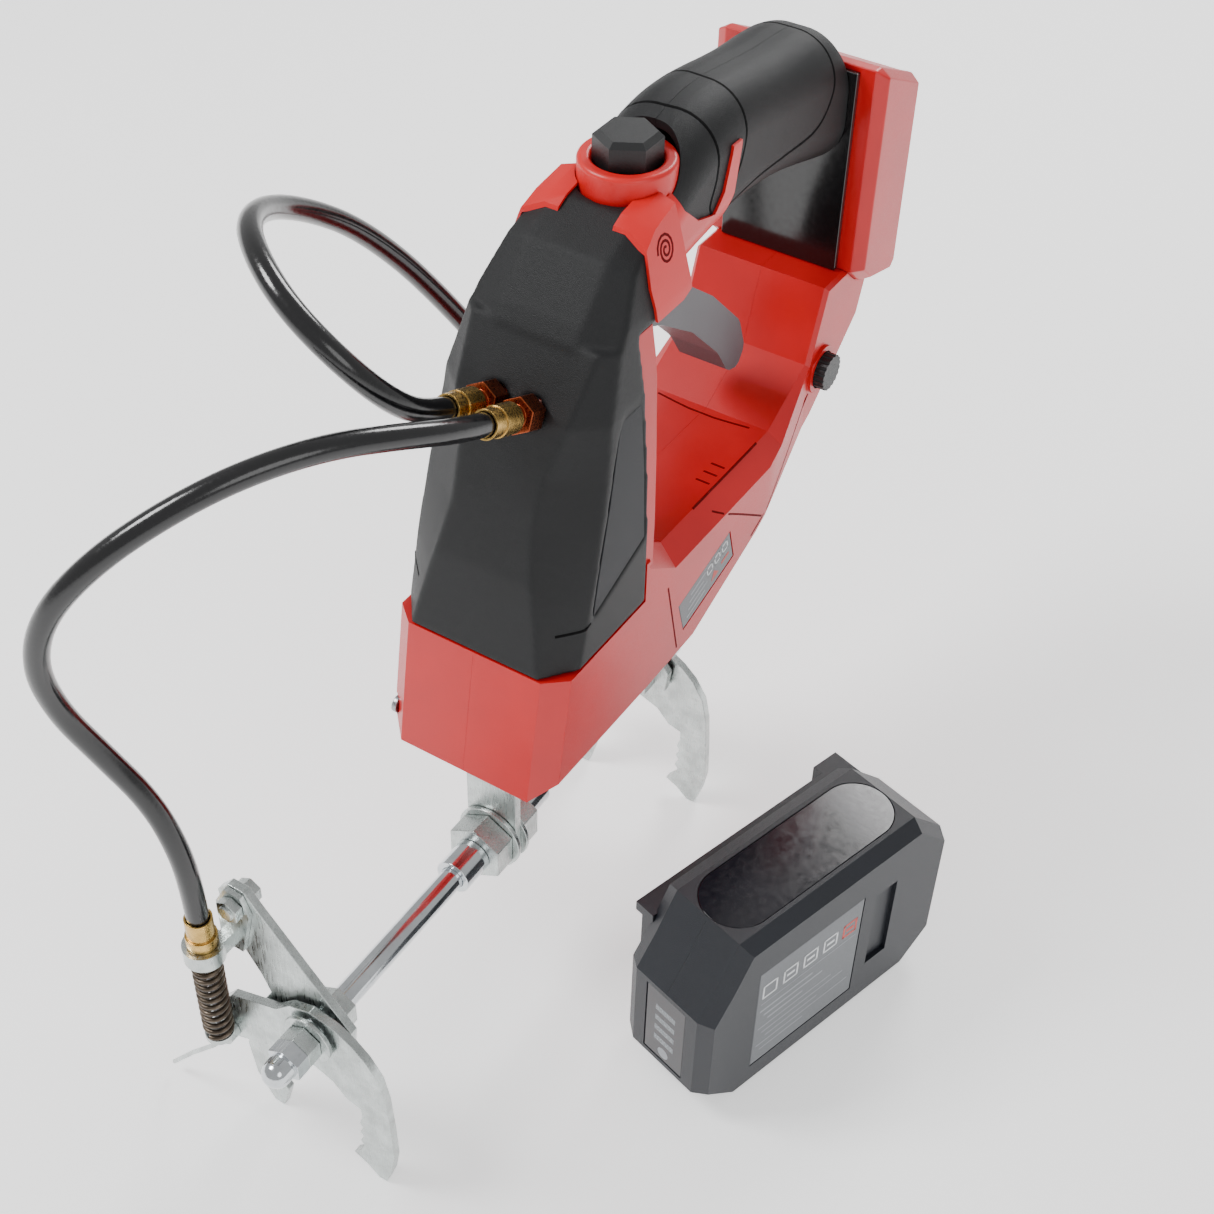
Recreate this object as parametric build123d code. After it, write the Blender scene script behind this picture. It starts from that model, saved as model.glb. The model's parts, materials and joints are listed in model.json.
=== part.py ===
from build123d import *
import math
import os

os.makedirs("parts", exist_ok=True)

# Driving dimensions in millimetres. +X is the front of the tool, +Y its left, +Z up.
# The origin is the middle of the cross rod, where it passes through the strip bracket.
FLOOR_Z = -61.0
BODY_HALF = 31.0
LEG_HALF = 25.5
FRONT_HALF = 24.0
WALL = 2.6
SKIN = 0.9
ROD_RADIUS = 4.0
ROD_HALF = 108.0
PLATE = 3.0
CLAW_X = 90.5
CABLE_RADIUS = 3.5
CABLE_SIDE = 6.2
CABLE_X = 103.2
STOP_Y = -34.0
STOP_Z = 23.0
CLAMP_Z = -22.5
SCREW_X = -21.0
GEAR_MODULE = 0.7
GEAR_TEETH = 36
PINION_TEETH = 12
GEAR_Z = 92.0
BATTERY_LENGTH = 112.0
BATTERY_THICK = 38.0
BATTERY_HIGH = 76.0
BATTERY_X = -34.0
BATTERY_Y = 94.0
BATTERY_YAW = -16.3
UP = (0, 0, 1)
FORE = (1, 0, 0)
LEFT = (0, 1, 0)


def keep(name, shape):
    """Write one node to its own file."""
    solids = shape.solids()
    export_step(solids[0] if len(solids) == 1 else Compound(children=solids), f"parts/{name}.step")


def both(shape):
    """The shape and its mirror image on the other flank."""
    return shape + mirror(shape, Plane.XZ)


def block(x0, x1, y0, y1, z0, z1):
    """Box between two opposite corners."""
    size = Box(x1 - x0, y1 - y0, z1 - z0)
    return Pos((x0 + x1) / 2, (y0 + y1) / 2, (z0 + z1) / 2) * size


def prism(sketch, start, direction, length):
    """Extrude a flat sketch from start along direction."""
    return extrude(Plane(origin=start, z_dir=direction) * sketch, amount=length)


def pin(start, direction, radius, length):
    return prism(Circle(radius), start, direction, length)


def ring(start, direction, outer, inner, length):
    return prism(Circle(outer) - Circle(inner), start, direction, length)


def hexagon(start, direction, flats, length, hole=0.0):
    sketch = RegularPolygon(flats / 2, 6, major_radius=False)
    if hole > 0:
        sketch -= Circle(hole)
    return prism(sketch, start, direction, length)


def along(start, direction, distance):
    return tuple(s + d * distance for s, d in zip(start, direction))


def inset(points, distance):
    """Move every side of a counter-clockwise polygon inwards by the same distance."""
    result = []
    for i, here in enumerate(points):
        before = points[i - 1]
        after = points[(i + 1) % len(points)]
        u = Vector(here[0] - before[0], here[1] - before[1]).normalized()
        v = Vector(after[0] - here[0], after[1] - here[1]).normalized()
        p = Vector(here[0] - u.Y * distance, here[1] + u.X * distance)
        q = Vector(here[0] - v.Y * distance, here[1] + v.X * distance)
        step = ((q.X - p.X) * v.Y - (q.Y - p.Y) * v.X) / (u.X * v.Y - u.Y * v.X)
        result.append((p.X + u.X * step, p.Y + u.Y * step))
    return result


def side_face(points, y):
    """Flat face in a plane of constant Y from (x, z) points."""
    return make_face(Polyline(*[(x, y, z) for x, z in points], close=True))


def slab(points, y0, y1):
    """Side outline extruded across the tool."""
    return extrude(side_face(points, y0), amount=y1 - y0, dir=LEFT)


def crowned(points, edge, inner, outer):
    """Side outline, straight over the middle and bevelled towards both flanks."""
    flank = loft([side_face(points, inner), side_face(inset(points, edge), outer)], ruled=True)
    return slab(points, -inner, inner) + both(flank)


def cross_plate(points, x0, thickness):
    """Outline of (y, z) points made into a plate square to the rod."""
    face = make_face(Polyline(*[(x0, y, z) for y, z in points], close=True))
    return extrude(face, amount=thickness, dir=FORE)


def fore_and_aft(shape):
    """The shape and its mirror image at the other end of the rod."""
    return shape + mirror(shape, Plane.YZ)


# ---------------------------------------------------------------- outlines, (x, z)
COVER_Z = 89.0
STRIP_X = -38.0
REAR_X = -46.0
HEAD_Z = 184.0
HEAD_X = -64.0
MOUNT_X = -174.0

LOWER = [
    (-196, 134), (-188, 110), (-158, 84), (-114, 60), (-72, 43.5), (-40, 43), (17.5, 44),
    (5.5, 116), (REAR_X, 116), (REAR_X, 104), (-58, 95.5), (-128, 95), (-152, 108), (-161, 134),
]
COLUMN = [(-60, 70), (14, 70), (10, COVER_Z), (4, 118), (-3, 141), (-11.5, 167), (-32, 198), (-60, 198)]
HEAD = [(-80, 165), (-8, 165), (-26, 189), (-39, 203), (-53, 210), (-80, 215)]
MOUNT = [
    (-204, 195), (-204, 126), (-200, 122), (-182, 127), (MOUNT_X - 0.2, 134.2), (MOUNT_X - 0.2, 207.5),
    (-178, 207.5),
]
PANEL = [(-36, 116.5), (-7.5, 105), (-10, 118), (-17, 141), (-23, 160), (-29.5, 173), (-36, 182)]
TRIM = [
    (-46, HEAD_Z + 1), (-45.5, 195), (-47, 205), (-50, 212), (-55, 217), (-62, 218), (-68, 214), (-72, 205),
    (-80, 198), (-90, 195), (-95, 200), (-99, 213), (-104, 213), (-101, 197), (-96, 189), (-84, 185),
    (-70, 188), (-60, HEAD_Z + 1),
][::-1]
PLATE_OUTLINE = [(-96, 66), (-64, 57), (-60, 70), (-92, 79)]
HALF_WIDTHS = [(31, 60), (31, 118), (30, 141), (28, 167), (24.5, 189), (20.5, 203), (16.5, 216)]


def width_limit(grow):
    """Front view of the column: half width by height, narrowing to the head."""
    right = [(half + grow, z) for half, z in HALF_WIDTHS]
    left = [(-y, z) for y, z in reversed(right)]
    return cross_plate(right + left, -90, 120)


# Front face of the cover by height: (z, x of the face, its half width). It is narrowest where the cheeks curve in.
FRONT_FACES = [(86, 10.4, 24), (112, 5.1, 18.5), (134, -0.9, 14), (150, -6.0, 14.5), (166, -11.2, 19), (186, -24, 21)]
CHEEK = 12.0


def front_limit(grow):
    """Cheeks that slant from the front face of the cover back to its flanks."""
    solid = Part()
    for (z0, x0, w0), (z1, x1, w1) in zip(FRONT_FACES, FRONT_FACES[1:]):
        ends = []
        for z, x, wide in ((z0, x0, w0), (z1, x1, w1)):
            right = [(x + 30, wide + grow), (x + grow, wide + grow), (x - CHEEK + grow, 32.5 + grow), (-95, 32.5 + grow)]
            outline = [(px, py, z) for px, py in right] + [(px, -py, z) for px, py in reversed(right)]
            ends.append(make_face(Polyline(*outline, close=True)))
        solid += loft(ends, ruled=True)
    return solid


def plan_limit(grow):
    """Plan view of the lower housing: the rear leg is narrower than the nose."""
    right = [(60, BODY_HALF + grow), (-118, BODY_HALF + grow), (-152, LEG_HALF + grow), (-260, LEG_HALF + grow)]
    outline = [(x, y, 0) for x, y in right] + [(x, -y, 0) for x, y in reversed(right)]
    return extrude(make_face(Polyline(*outline, close=True)), amount=200, dir=UP)


def cover_solid(grow):
    """Outside of the black cover: the column over the nose, and the head that joins the grip."""
    column = crowned(inset(COLUMN, -grow), 7, FRONT_HALF + grow, BODY_HALF + grow)
    column &= block(STRIP_X + 0.2 - grow, 40, -40, 40, COVER_Z + 0.2 - grow, HEAD_Z + 1)
    column &= front_limit(grow)
    head = crowned(inset(HEAD, -grow), 5, 13 + grow, 27 + grow)
    head &= block(HEAD_X - grow, 40, -40, 40, HEAD_Z + 0.2 - grow, 240)
    return (column + head) & width_limit(grow)


def handle_solid(grow):
    """Grip as a loft of rounded sections from the head to the battery mount."""
    stations = [
        (-56, 195, 14, 16.5, 17), (-72, 198, 10, 18, 17.5), (-90, 203, 5, 20.5, 17.5),
        (-115, 204, 0, 20.5, 17.5), (-145, 200, -6, 20.5, 18), (-173.8, 193, -10, 21, 20),
    ]
    faces = []
    for x, z, tilt, high, half in stations:
        lean = math.radians(tilt)
        plane = Plane(origin=(x, 0, z), x_dir=LEFT, z_dir=(-math.cos(lean), 0, math.sin(lean)))
        wide = half + grow
        faces.append(plane * RectangleRounded(2 * wide, 2 * (high + grow), wide - 3))
    return loft(faces)


def flank(side):
    """Everything on one flank of the tool, a hair off the split plane."""
    return block(-260, 160, 0.02, 60, -100, 300) if side > 0 else block(-260, 160, -60, -0.02, -100, 300)


LEAN = math.radians(23)
FITTING_DIR = (math.cos(LEAN), 0, math.sin(LEAN))
FACE_POINT = (-12.0, 0, 167.0)
DIAL_X = -161.0
DIAL_Z = 102.0
DIAL_RADIUS = 6.5
BUTTON_X = -70.0
DIAL_Y = 20.5
SCREW_PLACES = [(-33, 50), (-88, 56), (-122, 86), (-176, 124), (11, 52)]
FOOT_SCREWS = (-9.0, -18.0)
FOOT_Z = 46.4


def flank_half(x):
    """Half width of the lower housing at a distance along the tool."""
    return LEG_HALF if x < -150 else BODY_HALF


# ---------------------------------------------------------------- shells
def build_housing():
    outer = crowned(LOWER, 6, FRONT_HALF, BODY_HALF) - block(-60, 40, -40, 40, 104, 120)
    outer -= block(STRIP_X, 40, -40, 40, COVER_Z, 120)
    strip = block(REAR_X, STRIP_X, -40, 40, COVER_Z - 2, HEAD_Z) & width_limit(-1)
    strip = strip & crowned([(REAR_X, 60), (-20, 60), (-20, 200), (REAR_X, 200)], 4, 26, BODY_HALF)
    hollow = crowned(inset(LOWER, WALL), 6, FRONT_HALF - WALL, BODY_HALF - WALL)
    hollow &= block(-260, 40, -40, 40, 0, 104) + block(-260, -60, -40, 40, 0, 200)
    hollow -= block(STRIP_X, 40, -40, 40, COVER_Z - WALL, 120)
    shell = (outer & plan_limit(0)) + strip - (hollow & plan_limit(-WALL))
    shell -= slab(inset(MOUNT, -0.15), -40, 40)
    shell -= block(-36, 6.5, -20, 20, COVER_Z - 4, COVER_Z + 1)
    shell -= block(-0.3, PLATE + 0.3, -9.9, 9.9, 40, 48)
    shell -= block(REAR_X - 1, STRIP_X + 1, -8, 8, 150, HEAD_Z - 4)
    shell -= pin((DIAL_X, DIAL_Y, DIAL_Z), LEFT, DIAL_RADIUS + 0.4, 20)
    shell -= both(slab(inset(PLATE_OUTLINE, -0.3), BODY_HALF - 1, BODY_HALF + 1))
    dial_seat = ring((DIAL_X, DIAL_Y, DIAL_Z), LEFT, DIAL_RADIUS + 2.2, DIAL_RADIUS + 0.4, LEG_HALF + 1.2 - DIAL_Y)
    for x, z in SCREW_PLACES:
        half = flank_half(x)
        shell += ring((x, -half + 4, z), LEFT, 3.8, 1.25, 2 * half - 8) & hollow
        shell -= pin((x, -half - 1, z), LEFT, 3.4, 3.8)
        shell -= pin((x, -half - 1, z), LEFT, 1.25, half + 12)
    for x in FOOT_SCREWS:
        shell -= pin((x, 0, 40), UP, 2.1, 8)
    shell += dial_seat
    keep("housing_left", shell & flank(1))
    keep("housing_right", shell & flank(-1))


def build_cover():
    shell = cover_solid(0) - cover_solid(-WALL)
    shell -= block(-36, 6.5, -20, 20, COVER_Z - 1, COVER_Z + 4)
    shell -= block(HEAD_X - 1, HEAD_X + 4, -14, 14, HEAD_Z + 3, 208)
    shell -= block(STRIP_X - 1, STRIP_X + 4, -9, 9, 150, HEAD_Z - 4)
    for side in (-1, 1):
        centre = (FACE_POINT[0] - 8, side * CABLE_SIDE, FACE_POINT[2] - 3.4)
        shell -= pin(centre, FITTING_DIR, 4.2, 20)
    shell -= both(slab(PANEL, BODY_HALF - 3.1, BODY_HALF + 1))
    shell += both((slab(inset(PANEL, -1), BODY_HALF - 5, BODY_HALF - 3.1) & cover_solid(0)))
    shell -= pin((BUTTON_X, 0, 180), UP, 14.8, 60)
    ears = both(block(-63.8, -55, 9.5, 12.6, 171, HEAD_Z + 1)) - pin((-60, -20, 176), LEFT, 2.06, 40)
    shell += ears
    keep("front_cover", shell)


def build_side_panels():
    plate = slab(inset(PANEL, 0.35), BODY_HALF - 3.05, BODY_HALF + 1) & cover_solid(-0.25)
    keep("side_panels", both(plate))


def build_grips():
    shell = handle_solid(0) - handle_solid(-WALL)
    shell &= block(MOUNT_X + 2.4, HEAD_X - 0.2, -40, 40, 150, 260)
    shell -= pin((BUTTON_X, 0, 190), UP, 14.8, 60)
    shell -= block(-98, -58, -9.6, 9.6, 165, 186)
    keep("grip_left", shell & flank(1))
    keep("grip_right", shell & flank(-1))


def build_trims():
    grown = cover_solid(SKIN) + handle_solid(SKIN)
    core = cover_solid(0.03) + handle_solid(0.03)
    skin = (grown & slab(TRIM, 9, 45)) - core - block(-90, STRIP_X + 3, 9, 45, 170, HEAD_Z + 0.3)
    skin -= pin((BUTTON_X, 0, HEAD_Z), UP, 14.8, 60)
    keep("trim_pieces", both(skin))


def build_mount():
    body = crowned(MOUNT, 2.5, 27, BODY_HALF)
    body -= block(-206, -188, -25, 25, 110, 198)
    lips = both(block(-203.5, -200, 21.5, 26, 130, 192))
    keep("battery_mount", body + lips)
    keep("mount_wall", block(MOUNT_X, MOUNT_X + 2.2, -22, 22, 134.4, 206))
    contacts = block(-194, -188.2, -15, 15, 176, 190)
    for y in (-9, -3, 3, 9):
        contacts += block(-199, -194, y - 0.5, y + 0.5, 168, 188)
    keep("mount_terminals", contacts)
    keep("rating_plate", slab(PLATE_OUTLINE, BODY_HALF - 0.95, BODY_HALF - 0.1))


def build_buttons():
    collar = ring((BUTTON_X, 0, 205), UP, 14.5, 10.4, 13)
    collar = fillet(collar.edges().filter_by(GeomType.CIRCLE).group_by(Axis.Z)[-1], 1.4)
    keep("button_collar", collar)
    button = hexagon((BUTTON_X, 0, 212), UP, 17.6, 13.5)
    button = chamfer(button.faces().sort_by(Axis.Z)[-1].edges(), 1.6)
    button += pin((BUTTON_X, 0, 207), UP, 10.1, 5)
    button += pin((BUTTON_X, 0, 199), UP, 2.5, 8)
    keep("lock_button", button)
    keep("lock_spring", coil((BUTTON_X, 0, 192.1), UP, 4.2, 0.5, 14.8, 6))


def coil(start, direction, radius, wire, height, turns):
    """Round wire wound into a compression spring."""
    pitch = (height - 2 * wire) / turns
    base = Plane(origin=along(start, direction, wire), z_dir=direction)
    path = base * Helix(pitch=pitch, height=pitch * turns, radius=radius)
    section = Plane(origin=path @ 0, z_dir=path % 0) * Circle(wire)
    return sweep(section, path=path, is_frenet=True)


def build_trigger():
    outline = [(-58, 176), (-60, 168), (-78, 160), (-98, 146), (-116, 128), (-124, 116), (-131, 114),
               (-135, 120), (-130, 133), (-110, 153), (-88, 170), (-72, 179), (-64, 181)][::-1]
    blade = slab(outline, -9, 9)
    edges = blade.edges().filter_by(Axis.Y)
    blade = chamfer([e for e in edges if e.center().X < -115], 1.5)
    blade -= slab(inset(outline, 2.4), -6.6, 6.6)
    blade += pin((-60, -6, 176), LEFT, 4.6, 12)
    blade -= pin((-60, -10, 176), LEFT, 2.06, 20)
    keep("trigger", blade)
    keep("trigger_pin", pin((-60, -12.5, 176), LEFT, 2.0, 25))


TOOTH_GAP = 0.12


def gear(teeth, x, z0, height, bore, phase):
    """Spur gear with straight-flanked teeth, axis vertical."""
    pitch = GEAR_MODULE * teeth / 2
    root = pitch - 1.25 * GEAR_MODULE
    tip = pitch + 0.95 * GEAR_MODULE
    tooth = math.pi / teeth
    points = []
    for i in range(teeth):
        middle = 2 * tooth * i + phase
        for radius, share in ((root, -0.62), (tip, -0.24), (tip, 0.24), (root, 0.62)):
            angle = middle + tooth * share
            slip = TOOTH_GAP / 2 / radius * (1 if share < 0 else -1)
            points.append((x + radius * math.cos(angle + slip), radius * math.sin(angle + slip), z0))
    wheel = extrude(make_face(Polyline(*points, close=True)), amount=height, dir=UP)
    return wheel - pin((x, 0, z0 - 1), UP, bore, height + 2)


MOTOR_X = SCREW_X + GEAR_MODULE * (GEAR_TEETH + PINION_TEETH) / 2


def build_drive():
    can = ring((MOTOR_X, 0, 52.5), UP, 11, 10, 31) + ring((MOTOR_X, 0, 83.5), UP, 11, 2.6, 1.5)
    keep("motor_can", can + ring((MOTOR_X, 0, 51), UP, 11, 2.6, 1.5))
    rotor = pin((MOTOR_X, 0, 54.5), UP, 9.2, 22) + pin((MOTOR_X, 0, 51.2), UP, 1.55, 46)
    rotor += pin((MOTOR_X, 0, 78), UP, 4.2, 4)
    keep("motor_rotor", rotor)
    keep("motor_pinion", gear(PINION_TEETH, MOTOR_X, GEAR_Z, 6, 1.56, math.pi - math.pi / PINION_TEETH))
    keep("drive_gear", gear(GEAR_TEETH, SCREW_X, GEAR_Z, 5, 3.02, 0))
    screw = pin((SCREW_X, 0, 86.5), UP, 3.0, 14) + pin((SCREW_X, 0, 100.5), UP, 2.6, 48)
    for turn in range(11):
        screw += ring((SCREW_X, 0, 106 + SCREW_LEAD * turn), UP, 3.0, 2.5, 1.6)
    keep("drive_screw", screw)
    bearings = ring((SCREW_X, 0, 86.6), UP, 6.5, 3.05, 3.4) + ring((SCREW_X, 0, 148.5), UP, 5.5, 2.65, 3.0)
    keep("screw_bearings", bearings)
    frame = block(-34.5, 2.0, -15, 15, 98.5, 100.5) - pin((SCREW_X, 0, 98), UP, 3.3, 4)
    frame += block(-34.5, -20, -13.5, 13.5, 151.6, 154)
    for side in (-1, 1):
        frame -= pin((SCREW_X - 6, side * 10.5, 97), UP, 1.95, 60)
    keep("drive_frame", frame)
    rods = pin((SCREW_X - 6, 10.5, 98.6), UP, 1.9, 55.3) + pin((SCREW_X - 6, -10.5, 98.6), UP, 1.9, 55.3)
    keep("guide_rods", rods)
    yoke = block(-32, -15.5, -13.5, 13.5, 132, 139) - pin((SCREW_X, 0, 130), UP, 3.08, 12)
    for side in (-1, 1):
        yoke -= pin((SCREW_X - 6, side * 10.5, 130), UP, 1.98, 12)
        yoke -= pin((-17.6, side * CABLE_SIDE, 130), UP, 0.75, 12)
    keep("puller_yoke", yoke)
    wires = Part()
    for side in (-1, 1):
        wires += pin((-17.6, side * CABLE_SIDE, 131), UP, 0.7, 20)
        wires += pin((-17.6, side * CABLE_SIDE, 129), UP, 1.6, 2.9)
    keep("yoke_wires", wires)


def build_electrics():
    board = block(-106, -50, -20, 20, 68, 69.6)
    for x in (-100, -88, -76, -64):
        board += block(x, x + 8, -14, 14, 69.6, 76)
    keep("control_board", board)
    keep("trigger_switch", block(-90, -64.5, -6.5, 6.5, 187, 192) + block(-90, -78, -6.5, 6.5, 192, 203))
    dial = pin((DIAL_X, DIAL_Y + 0.4, DIAL_Z), LEFT, DIAL_RADIUS, 9.5)
    knurls = 18
    for i in range(knurls):
        angle = 2 * math.pi * i / knurls
        reach = DIAL_RADIUS + 0.1
        notch = (DIAL_X + reach * math.cos(angle), DIAL_Y + 6.2, DIAL_Z + reach * math.sin(angle))
        dial -= pin(notch, LEFT, 0.6, 5)
    keep("speed_dial", dial)


def build_screws():
    screws = Part()
    for x, z in SCREW_PLACES:
        half = flank_half(x)
        screws += pin((x, -half + 2.7, z), LEFT, 1.2, half + 7)
        screws += pin((x, -half + 0.9, z), LEFT, 3.0, 1.8)
    keep("housing_screws", screws)


# ---------------------------------------------------------------- rod, bracket and claws
ANCHOR = [
    (-8, -12), (4, -12), (11, -5), (12, 4), (6, 11), (-20, 41), (-24, 46), (-30, 46), (-34.5, 41), (-33, 27),
    (-22, 9), (-19, 2), (-30, -18), (-33, -36), (-31, -50), (-25, FLOOR_Z), (-21, FLOOR_Z), (-18, -50),
    (-20.5, -47), (-18.5, -43), (-20.5, -40), (-18.5, -36), (-20.5, -33), (-18, -29), (-15, -20),
]
HOOK = [
    (-38, -12), (-32, -4.5), (-14, 2), (-8, 8), (0, 10.8), (9, 9), (15, 5.5), (20, 1), (24.5, -6), (26.5, -15),
    (27.5, -30), (28, -44), (26.5, -53), (24, FLOOR_Z), (21, FLOOR_Z), (16.5, -57), (11.5, -54.5), (14.5, -51),
    (16.2, -47), (14.8, -45), (16.4, -42), (15, -40), (16.6, -37), (15.2, -35), (16.4, -31), (16.3, -27),
    (11, -25.5), (6, -20), (-2, -17), (-12, -18), (-26, -24), (-37, -28.5), (-42, -26), (-43, -17),
]
BOLT_Y = -27.0
BOLT_Z = 40.0


def build_rod():
    rod = pin((-ROD_HALF, 0, 0), FORE, ROD_RADIUS, 2 * ROD_HALF)
    keep("cross_rod", rod)
    strip = [(-9.6, 49.4), (9.6, 49.4)]
    for i in range(13):
        angle = math.pi * i / 12
        strip.append((9.6 * math.cos(angle), -5 - 9.6 * math.sin(angle)))
    plate = cross_plate(strip, 0, PLATE) + block(-24, 0.5, -9.6, 9.6, FOOT_Z, FOOT_Z + PLATE)
    plate -= pin((-1, 0, 0), FORE, ROD_RADIUS + 0.08, 6)
    bolts = Part()
    for x in FOOT_SCREWS:
        plate -= pin((x, 0, 40), UP, 2.0, 12)
        bolts += pin((x, 0, 42.6), UP, 1.95, 7.6) + pin((x, 0, 40.6), UP, 3.8, 2.1)
    keep("strip_bracket", plate)
    keep("bracket_screws", bolts)
    bore = ROD_RADIUS + 0.06
    nuts = hexagon((4.8, 0, 0), FORE, 19, 8.5, bore) + hexagon((-10.2, 0, 0), FORE, 19, 8.5, bore)
    keep("bracket_nuts", nuts)
    washers = ring((3.1, 0, 0), FORE, 12, bore, 1.6) + ring((-1.7, 0, 0), FORE, 12, bore, 1.6)
    washers += fore_and_aft(ring((98.8, 0, 0), FORE, 8.8, bore, 1.5))
    keep("rod_washers", washers)
    sleeves = ring((13.4, 0, 0), FORE, 6.2, bore, 12) + ring((-22.4, 0, 0), FORE, 6.2, bore, 12)
    sleeves += fore_and_aft(ring((CLAW_X + PLATE + 0.6, 0, 0), FORE, 6.2, bore, 4.2))
    keep("rod_sleeves", sleeves)
    nut = hexagon((84, 0, 0), FORE, 13, 6.4, bore) + hexagon((100.4, 0, 0), FORE, 11.2, 5.4, bore)
    keep("claw_nuts", fore_and_aft(nut))
    acorn = hexagon((105.9, 0, 0), FORE, 11.2, 5) + pin((110.9, 0, 0), FORE, 4.7, 3)
    acorn += Pos(113.9, 0, 0) * Sphere(4.7)
    acorn &= block(105.9, 130, -8, 8, -8, 8)
    acorn -= pin((104, 0, 0), FORE, bore, 4.4)
    keep("acorn_nuts", fore_and_aft(acorn))


def build_fixed_claws():
    """Anchor arms clamped on the rod, the cable stops on them and the stops' bolts."""
    arm = cross_plate(ANCHOR, CLAW_X, PLATE) - pin((80, 0, 0), FORE, ROD_RADIUS + 0.06, 30)
    arm -= pin((80, BOLT_Y, BOLT_Z), FORE, 2.6, 30)
    keep("anchor_arms", fore_and_aft(arm))
    face = CLAW_X + PLATE + 0.1
    link = cross_plate([(-34, 19), (-26, 19), (-21.5, 38), (-24, 45), (-30, 45.5), (-34, 38)], face, 1.8)
    link -= pin((80, BOLT_Y, BOLT_Z), FORE, 2.6, 30)
    link += block(face, CABLE_X - 4, -33, -29, STOP_Z - 3, STOP_Z + 3)
    stop = ring((CABLE_X, STOP_Y, STOP_Z - 3), UP, 6.4, 4.6, 6)
    stop += link - pin((CABLE_X, STOP_Y, 0), UP, 5.9, 60)
    keep("cable_stops", fore_and_aft(stop))
    bolt = hexagon((CLAW_X - 3.6, BOLT_Y, BOLT_Z), FORE, 7.4, 3.5)
    bolt += pin((CLAW_X - 0.2, BOLT_Y, BOLT_Z), FORE, 2.5, 9)
    bolt += hexagon((face + 1.9, BOLT_Y, BOLT_Z), FORE, 7.4, 3)
    keep("stop_bolts", fore_and_aft(bolt))


def build_hook(end, name):
    """Hook arm that swings on the rod, with its clamp, spring and inner wire."""
    def place(shape):
        return shape if end > 0 else mirror(shape, Plane.YZ)

    hook_x = CLAW_X + PLATE + 1.2
    hook = cross_plate(HOOK, hook_x, PLATE) - pin((80, 0, 0), FORE, 6.26, 30)
    hook -= pin((80, STOP_Y - 1, CLAMP_Z), FORE, 2.1, 30)
    keep(f"hook_arm_{name}", place(hook))
    seat = CLAMP_Z + 5
    spring = coil((CABLE_X, STOP_Y, seat + 0.1), UP, 4.1, 0.8, STOP_Z - 4.2 - seat, 11)
    keep(f"return_spring_{name}", place(spring))
    keep(f"pull_wire_{name}", place(pin((CABLE_X, STOP_Y, seat + 0.1), UP, 0.8, STOP_Z - seat)))
    clamp = pin((hook_x + PLATE + 0.1, STOP_Y - 1, CLAMP_Z), FORE, 4.2, 4.2)
    clamp += pin((CABLE_X, STOP_Y, seat - 2), UP, 4.6, 2.0) + block(98.6, 102, -38, -32, seat - 2, seat)
    clamp += pin((hook_x - 0.4, STOP_Y - 1, CLAMP_Z), FORE, 2.0, 4)
    clamp += hexagon((hook_x - 2.6, STOP_Y - 1, CLAMP_Z), FORE, 7, 2.5)
    points = [(CABLE_X, STOP_Y, seat - 2), (CABLE_X, -37, -28), (CABLE_X, -49, -42), (CABLE_X - 1, -60, -57)]
    tail_path = FilletPolyline(*points, radius=8)
    clamp += sweep(Plane(origin=tail_path @ 0, z_dir=tail_path % 0) * Circle(0.8), path=tail_path)
    keep(f"wire_clamp_{name}", place(clamp))


# ---------------------------------------------------------------- Bowden cables
FITTING_START = 9.0
FERRULE_START = 13.0
CABLE_START = 19.0
LEAD_END = 34.0


def fitting_point(side, distance):
    x, _, z = along(FACE_POINT, FITTING_DIR, distance)
    return (x, side * CABLE_SIDE, z)


CABLE_END_Z = STOP_Z + 8
SCREW_LEAD = 3.4
FRONT_ROUTE = [
    fitting_point(1, CABLE_START), fitting_point(1, LEAD_END), (38, 1, 188), (57, -8, 193), (76, -19, 192),
    (93, -30, 186), (108, -42, 175), (117, -53, 159), (119, -59, 140), (115, -59, 120), (109, -53, 102),
    (104, -43, 84), (CABLE_X, -36, 66), (CABLE_X, STOP_Y, 47), (CABLE_X, STOP_Y, CABLE_END_Z),
]
REAR_ROUTE = [
    fitting_point(-1, CABLE_START), fitting_point(-1, LEAD_END), (31, -9, 191), (39, -18, 205), (39, -33, 215),
    (31, -49, 220), (17, -64, 218), (-2, -74, 210), (-22, -77, 198), (-40, -76, 184), (-56, -72, 166),
    (-69, -67, 147), (-80, -61, 128), (-90, -54, 108), (-98, -46, 88), (-103, -38.5, 67),
    (-CABLE_X, STOP_Y, 47), (-CABLE_X, STOP_Y, CABLE_END_Z),
]


def cable(name, route):
    """Tube on straight runs joined by the largest arcs that the runs allow."""
    points = [Vector(*p) for p in route]
    radii = []
    for before, here, after in zip(points, points[1:], points[2:]):
        run_in, run_out = here - before, after - here
        turn = math.radians(run_in.get_angle(run_out))
        radii.append(0.45 * min(run_in.length, run_out.length) / math.tan(turn / 2))
    path = FilletPolyline(*points, radius=radii)
    tube = sweep(Plane(origin=path @ 0, z_dir=path % 0) * Circle(CABLE_RADIUS), path=path)
    print(name, "radii", [round(r) for r in radii], "length", round(path.length, 1))
    print(name, "volume", round(tube.volume), "section x length",
          round(math.pi * CABLE_RADIUS ** 2 * path.length))
    keep(name, tube)


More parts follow.
